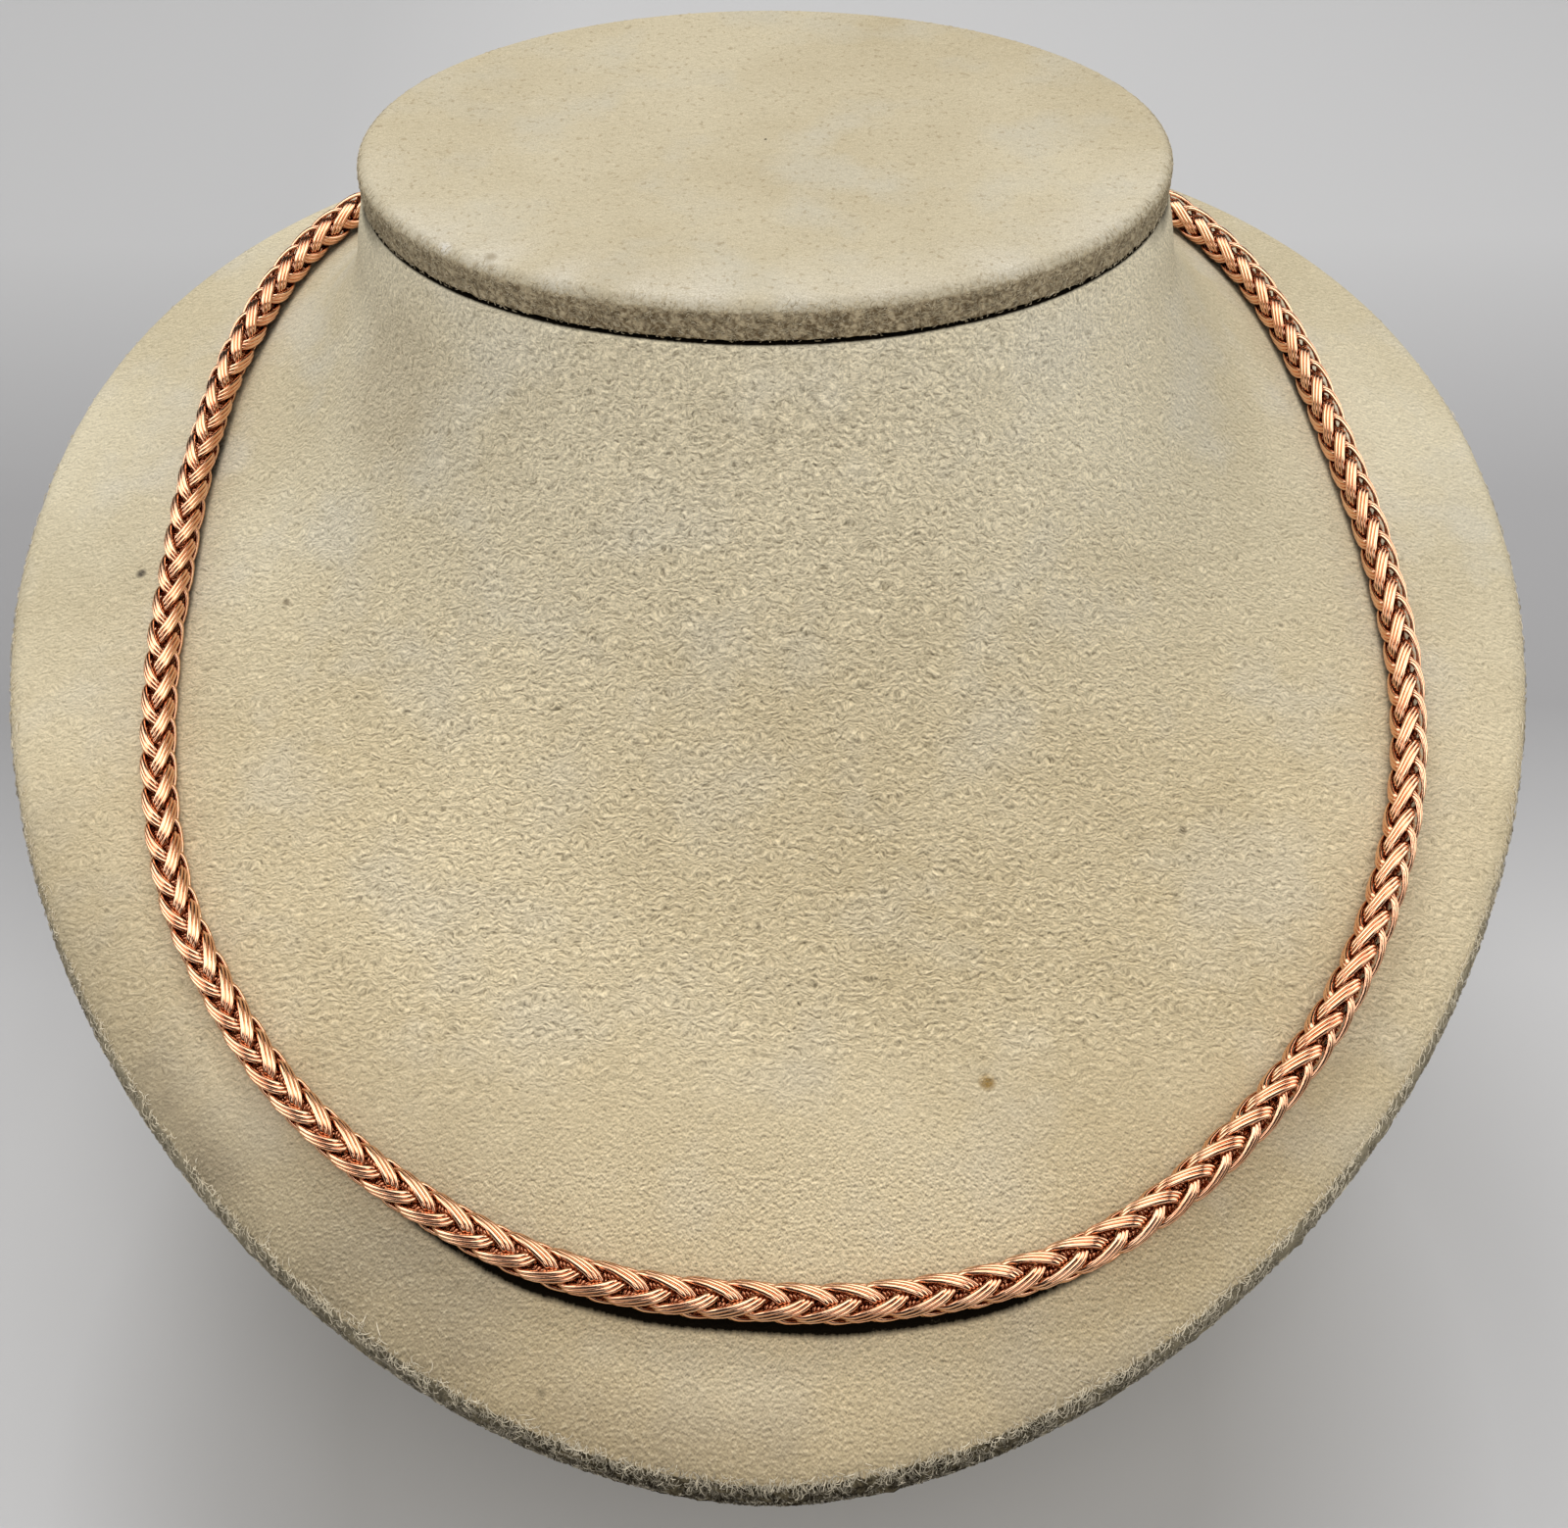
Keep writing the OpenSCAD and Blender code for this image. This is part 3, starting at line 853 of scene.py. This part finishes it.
# All links of some columns. A link is a ribbon of wires side by side: the loop's own line and the way of
# the ribbon's width, both smooth curves through the outline's rows, wires set off along the width, and six
# points round each wire. Neighbouring columns are mirrored and stand half a pitch apart.
def makeLinks(name, columns, material):
    size = chainSize
    radius = size["width"] / 2
    count = int(pathLength[-1] / size["pitch"])
    pitch = pathLength[-1] / (count + 0.6)
    outline = np.array(linkOutline) * np.array([pitch, radius, math.pi / 180, 1])
    along, outward, turned, lean = outline.T
    turn = np.where(np.abs(turned) < size["outerTurn"], turned, 0)
    outline = [along, outward * np.cos(turned), outward * np.sin(turned),
               -lean, (lean - 1) * np.sin(turn), (1 - lean) * np.cos(turn)]
    outline = smoothCurve(np.stack(outline, -1), size["ringSteps"], closed=True)
    line, width = outline[:, :3], outline[:, 3:]
    tangent = unit(np.roll(line, -1, axis=0) - np.roll(line, 1, axis=0))
    width = unit(width - (width * tangent).sum(axis=1, keepdims=True) * tangent)
    normal = np.cross(width, tangent)
    wires = (np.arange(size["wires"]) - (size["wires"] - 1) / 2) * 2 * size["wireWidth"] * size["closeness"]
    flat = size["wireFlat"]
    thick = size["wireThick"] * np.array([1, 0, -1, -1, 0, 1])
    wide = size["wireWidth"] * np.array([flat, 1, flat, -flat, -1, -flat])
    ring = (line[None, :, None, :] + wires[:, None, None, None] * width[None, :, None, :]
            + thick[None, None, :, None] * normal[None, :, None, :]
            + wide[None, None, :, None] * width[None, :, None, :])
    over = size["bend"] * (wires[:, None] + wide[None, :]) ** 2
    ring = ring - over[:, None, :, None] * normal[None, :, None, :]
    reach = np.hypot(ring[..., 1], ring[..., 2]) / radius
    # Painted shade: the metal darkens the deeper it lies in the chain.
    deep = np.clip((size["deepFrom"] - reach) / (size["deepFrom"] - size["deepTo"]), 0, 1)
    rows, sides = ring.shape[1], ring.shape[2]
    allPoints, allFaces, allDeep = [], [], []
    offset = 0
    for column in columns:
        mirror = 1 if column % 2 == 0 else -1
        starts = (np.arange(count) + size["firstLink"] + 0.5 * (column % 2)) * pitch
        starts = starts[starts < pathLength[-1] - size["lastLink"] * pitch]
        distance = starts[:, None, None, None] + ring[None, ..., 0]
        roll = np.interp(np.interp(distance, pathLength, pathAngle), *np.array(chainRoll).T)
        angle = np.radians(45 + 90 * column + roll)
        out, aside = ring[None, ..., 1], mirror * ring[None, ..., 2]
        side = out * np.cos(angle) - aside * np.sin(angle)
        up = out * np.sin(angle) + aside * np.cos(angle)
        points = onPath(distance, side, up)
        faces = gridFaces(rows, sides, closedRows=True)[:, ::mirror]
        copies = offset + np.arange(len(starts) * size["wires"])[:, None, None] * rows * sides
        allPoints.append(points.reshape(-1, 3))
        allFaces.append((faces[None] + copies).reshape(-1, 4))
        allDeep.append(np.broadcast_to(deep, points.shape[:-1]).ravel())
        offset += points.size // 3
    marks = {"deep": np.concatenate(allDeep)}
    piece = addMesh(name, np.vstack(allPoints), np.vstack(allFaces), material, marks)
    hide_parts("chain")
    return piece


# Inner coil that shows dark between the links, with painted shade by its number deep: a helix round the
# chain's own line, uneven by slow waves, with a tube of five sides round it and two closed ends.
def makeCoil(name, material):
    size = chainSize
    steps = int(pathLength[-1] / size["coilPitch"] * size["coilSteps"])
    distance = np.linspace(0.5, pathLength[-1] - 0.5, steps)
    turn = 2 * math.pi * distance / size["coilPitch"]
    spread = np.hanning(9) / np.linalg.norm(np.hanning(9))
    wobble = [scale * np.convolve(rng.normal(0, 1, steps), spread, "same") for scale in size["coilUneven"]]
    radius = size["coilRadius"] + wobble[0]
    line = onPath(distance + wobble[1], radius * np.cos(turn), radius * np.sin(turn))
    middle = onPath(distance, 0 * turn, 0 * turn)
    ahead = unit(np.gradient(line, axis=0))
    out = line - middle
    out = unit(out - (out * ahead).sum(axis=1, keepdims=True) * ahead)
    side = np.cross(ahead, out)
    q = (2 * math.pi * np.arange(5) / 5)[None, :, None]
    thick = np.full(steps, size["coilWire"])
    thick[[0, -1]] = 0.002
    ring = line[:, None] + thick[:, None, None] * (np.cos(q) * out[:, None] + np.sin(q) * side[:, None])
    piece = addMesh(name, ring, gridFaces(steps, 5), material, {"deep": np.full(steps * 5, size["coilDeep"])})
    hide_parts("chain")
    return piece


linkPieces = [
    makeLinks("chainLinksA", (0, 2), roseMetal),
    makeLinks("chainLinksB", (1, 3), roseMetal),
    makeCoil("chainCoil", roseMetal),
]
for piece in linkPieces:
    print("stage: %s, %d faces" % (piece.name, len(piece.data.polygons)))

standSize = {"width": 104.0, "depth": 112.0, "back": 14.0, "power": 2.4, "under": 0.3, "round": 1.2}


# Stand: an upright superellipse with rounded edges, its top on the slope of the form above it.
def makeStand():
    size = standSize
    a = allRound(200)
    corner = np.linspace(0, math.pi / 2, 6)[:, None]
    insetTop = size["round"] * (1 - np.sin(corner))
    shares = np.array([0.01, 0.35, 0.7, 0.97])[:, None]

    def ring(inset):
        x = (size["width"] / 2 - inset) * signedPower(np.cos(a), 2 / size["power"])
        y = size["back"] + (size["depth"] / 2 - inset) * signedPower(np.sin(a), 2 / size["power"])
        return x, y

    x, y = ring(insetTop)
    high = rimHeight(y) - formSize["rimThick"] - size["under"]
    topBand = np.stack([x, y, high - size["round"] * (1 - np.cos(corner))], -1)
    x, y = ring(insetTop[::-1])
    lowBand = np.stack([x, y, np.broadcast_to(size["round"] * (1 - np.cos(corner[::-1])), x.shape)], -1)
    centre = np.array([0, size["back"], 0])
    middle = centre + np.array([0, 0, rimHeight(size["back"]) - formSize["rimThick"] - size["under"]])
    top = middle + (topBand[:1] - middle) * shares[:, :, None]
    low = centre + (lowBand[-1:] - centre) * shares[::-1, :, None]
    points = np.concatenate([top, topBand, lowBand, low])
    piece = addMesh("standBlock", points, gridFaces(*points.shape[:2]), standCloth)
    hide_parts("stand")


claspSize = {
    "length": 12.0,
    "width": 4.6,
    "thick": 3.2,
    "round": 0.9,
    "gap": 0.35,
    "faceInsets": [2.29, 1.8],  # rows of the flat faces, in from the outline
}


# Clasp: a bar with round ends laid along the form behind the neck: rounded stadiums from the middle of
# its outer face to the middle of its inner face.
def makeClasp():
    size = claspSize
    out = formNormal(np.array(math.pi / 2), np.array(chainSize["claspShare"]))
    place = formPoint(np.array(math.pi / 2), np.array(chainSize["claspShare"]))
    place = place + (chainSize["width"] / 2 + size["gap"]) * out
    aside = np.array([1.0, 0.0, 0.0])
    across = np.cross(out, aside)
    a = (np.arange(48) + 0.5) * 2 * math.pi / 48
    corner = np.linspace(0, math.pi / 2, 7)
    inset = size["round"] * (1 - np.sin(corner))
    high = size["thick"] / 2 - size["round"] * (1 - np.cos(corner))
    inset = np.concatenate([size["faceInsets"], inset, inset[::-1], size["faceInsets"][::-1]])[:, None]
    high = np.concatenate([[size["thick"] / 2] * 2, high, -high[::-1], [-size["thick"] / 2] * 2])[:, None]
    radius = size["width"] / 2 - inset
    straight = (size["length"] - size["width"]) / 2 * np.sign(np.cos(a))[None, :]
    straight = straight * np.where(np.arange(len(inset)) % (len(inset) - 1) == 0, 0.9, 1.0)[:, None]
    x = straight + radius * np.cos(a)
    y = radius * np.sin(a)
    points = place + x[..., None] * aside + y[..., None] * across + high[..., None] * out
    piece = addMesh("claspBar", points, gridFaces(*points.shape[:2]), claspMetal)
    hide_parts("clasp")


makeStand()
makeClasp()
print("stage: stand and clasp made")


floorLook = {
    "half": 3.0,  # half the table's width, m
    "from": -0.12,  # y of the first and of the last stop, m
    "to": 0.22,
    # Stops of the ramp over y; the dark middle stops are painted shade beside and behind the form.
    "stops": [
        (0.0, (0.66, 0.665, 0.675)), (0.38, (0.55, 0.555, 0.57)), (0.55, (0.335, 0.335, 0.345)),
        (0.72, (0.35, 0.35, 0.36)), (1.0, (0.51, 0.515, 0.525)),
    ],
    "leftFrom": -0.05,  # x where the painted shade starts to darken it to the left, m
    "leftTo": -0.11,
    "leftDark": 0.12,
    "shadowAt": (0.0, -0.055, 0.0),
    "shadowFrom": 0.092,  # distance from there where the soft shadow starts, m
    "shadowTo": 0.055,
    "shadowShare": 0.45,
    "shadow": (0.16, 0.145, 0.12),
}


# Pale table, a plane under everything, with painted shade: a ramp over y that darkens in a band beside
# and behind the form, darker to the left, and a round soft shadow painted under the front.
def makeFloor():
    look = floorLook
    material, tree, shader, place = newMaterial("paleFloor")
    parts = addNode(tree, "ShaderNodeSeparateXYZ", {"Vector": place}).outputs
    base = addRamp(tree, addRise(tree, parts["Y"], look["from"], look["to"]), look["stops"])
    left = addRise(tree, parts["X"], look["leftFrom"], look["leftTo"], look["leftDark"])
    base = addMix(tree, left, base, (0.0, 0.0, 0.0))
    away = addVector(tree, "DISTANCE", place, look["shadowAt"], "Value")
    shadow = addRise(tree, away, look["shadowFrom"], look["shadowTo"], look["shadowShare"])
    base = addMix(tree, shadow, base, look["shadow"])
    tree.links.new(base, shader.inputs["Base Color"])
    shader.inputs["Roughness"].default_value = 0.7
    half = look["half"]
    mesh = bpy.data.meshes.new("floor")
    corners = [(-half, -half, 0), (half, -half, 0), (half, half, 0), (-half, half, 0)]
    mesh.from_pydata(corners, [], [(0, 1, 2, 3)])
    mesh.materials.append(material)
    addObject("floor", mesh)


makeFloor()

cameraPlace = {
    "at": (-0.00034, -0.16226, 0.2319), "down": 46.95, "turn": -0.71, "lens": 42.75, "sensor": 36.0,
}


# Camera at the photo's place: it looks down by the angle down and turns by turn, in degrees.
def makeCamera():
    data = bpy.data.cameras.new("camera")
    data.lens = cameraPlace["lens"]
    data.sensor_width = cameraPlace["sensor"]
    data.sensor_fit = "HORIZONTAL"
    data.clip_start = 0.01
    camera = addObject("camera", data)
    camera.location = cameraPlace["at"]
    camera.rotation_euler = (math.radians(90 - cameraPlace["down"]), 0, math.radians(cameraPlace["turn"]))
    bpy.context.scene.camera = camera


makeCamera()

# Lamps: place, the place each aims at, size, all in metres, power in watts, colour.
lampPlaces = {
    "key": ((0.05, -0.38, 0.72), (0, 0, 0.06), 0.45, 2.35, (1.0, 0.985, 0.96)),
    "left": ((-0.7, 0.1, 0.45), (0, 0, 0.05), 0.4, 0.35, (1.0, 0.98, 0.96)),
    "right": ((0.7, 0.1, 0.45), (0, 0, 0.05), 0.4, 0.5, (1.0, 0.98, 0.96)),
    "back": ((-0.1, 0.45, 0.6), (0, 0, 0.05), 0.3, 2.0, (1.0, 0.985, 0.96)),
}
roomLook = {"color": (1.0, 0.985, 0.975), "strength": 0.5, "mirrored": 0.035}
# Bright windows of the room as polished metal sees them: the way to each, the cosines from its middle
# where it starts and is full, and its strength.
roomWindows = [
    ((0.0, 0.20, 0.97), 0.80, 0.93, 2.7),
    ((0.88, 0.20, 0.40), 0.85, 0.95, 2.5),
    ((-0.88, 0.20, 0.40), 0.85, 0.95, 2.5),
    ((0.05, -0.70, 0.72), 0.95, 0.985, 1.8),
]


# Area lamps, and a pale room all round. Metal mirrors the room as dark, with a few bright windows.
def makeLamps():
    for name, (place, aim, size, power, color) in lampPlaces.items():
        data = bpy.data.lights.new(name, "AREA")
        data.shape = "DISK"
        data.size = size
        data.energy = power
        data.color = color
        holder = addObject(name, data)
        holder.location = place
        way = np.array(aim) - np.array(place)
        down = math.acos(-way[2] / np.linalg.norm(way))
        holder.rotation_euler = (down, 0, math.atan2(way[1], way[0]) - math.pi / 2)
        holder.visible_glossy = False
    world = bpy.data.worlds.new("studio")
    world.use_nodes = True
    tree = world.node_tree
    way = addNode(tree, "ShaderNodeTexCoord").outputs["Generated"]
    mirrored = roomLook["mirrored"]
    for towards, start, full, strength in roomWindows:
        towards = tuple(np.array(towards) / np.linalg.norm(towards))
        near = addVector(tree, "DOT_PRODUCT", way, towards, "Value")
        mirrored = addMath(tree, "ADD", mirrored, addRise(tree, near, start, full, strength))
    glossy = addNode(tree, "ShaderNodeLightPath").outputs["Is Glossy Ray"]
    plain = addTimes(tree, addMath(tree, "SUBTRACT", 1.0, glossy), roomLook["strength"])
    light = addMath(tree, "ADD", addTimes(tree, glossy, mirrored), plain)
    sky = tree.nodes["Background"]
    sky.inputs["Color"].default_value = (*roomLook["color"], 1.0)
    tree.links.new(light, sky.inputs["Strength"])
    bpy.context.scene.world = world
    bpy.context.scene.view_settings.view_transform = "Standard"


makeLamps()
print("stage: light and camera set")

print("stage: done")
